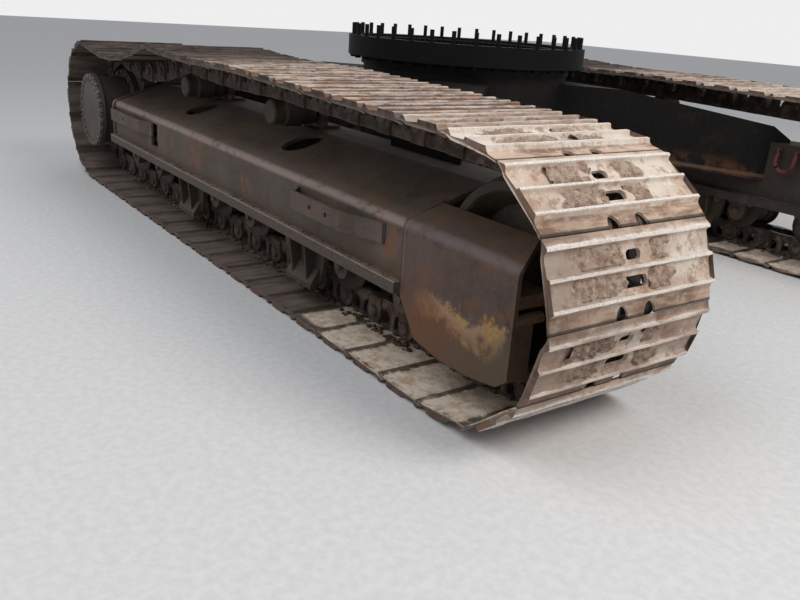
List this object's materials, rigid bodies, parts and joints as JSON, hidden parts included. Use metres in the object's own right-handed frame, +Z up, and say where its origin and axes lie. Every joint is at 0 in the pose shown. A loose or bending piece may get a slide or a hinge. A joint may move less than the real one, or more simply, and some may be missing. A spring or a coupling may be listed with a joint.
{
  "type": "crawler undercarriage",
  "caption": "Steel crawler undercarriage of an excavator: shoe tracks on box frames with idlers, sprockets and rollers, joined by a car body that carries a turning slew ring.",
  "frame": {"origin": "on the ground under the middle of the outer box of the two tracks", "axes": "+X forward, from the sprockets to the idlers; +Y to the left-hand crawler; +Z up, along the slew axis"},
  "size_m": [4.2362, 2.98, 0.996],
  "materials": {
    "track": "worn dusty steel with rust",
    "chain": "dark dirty steel",
    "frame": "faded dark paint with rust and dust",
    "guard": "faded dark paint with old yellow paint",
    "wheel": "dark worn casting",
    "yoke": "rusty brown",
    "drive": "dusty grey",
    "dark": "near-black paint",
    "ring": "dark greased steel",
    "balls": "polished steel"
  },
  "bodies": {
    "lower_structure": {"track_right": "track", "track_left": "track", "chain_right": "chain", "chain_left": "chain", "frame_right": "frame", "frame_left": "frame", "idler_guard_right": "guard", "idler_guard_left": "guard", "idler_right": "wheel", "idler_left": "wheel", "idler_yoke_right": "yoke", "idler_yoke_left": "yoke", "sprocket_right": "wheel", "sprocket_left": "wheel", "final_drive_right": "drive", "final_drive_left": "drive", "drive_bracket_right": "dark", "drive_bracket_left": "dark", "travel_motor_right": "dark", "travel_motor_left": "dark", "bottom_rollers_right": "wheel", "bottom_rollers_left": "wheel", "roller_collars_right": "frame", "roller_collars_left": "frame", "carrier_rollers_right": "wheel", "carrier_rollers_left": "wheel", "carrier_brackets_right": "frame", "carrier_brackets_left": "frame", "track_guides_right": "frame", "track_guides_left": "frame", "steps_right": "frame", "steps_left": "frame", "car_body_tub": "dark", "belly_plate": "dark", "leg_front_right": "dark", "leg_front_left": "dark", "leg_rear_right": "dark", "leg_rear_left": "dark", "swivel_joint": "dark", "slew_inner_race": "ring", "slew_ball_row": "balls"},
    "slew_turning_ring": {"slew_outer_race": "ring", "slew_bolts": "ring"}
  },
  "joints": [
    {"name": "slew", "type": "hinge", "parent": "lower_structure", "child": "slew_turning_ring", "pos_m": [-0.08399, 0, 0.891], "axis": [0, 0, 1], "continuous": true}
  ]
}
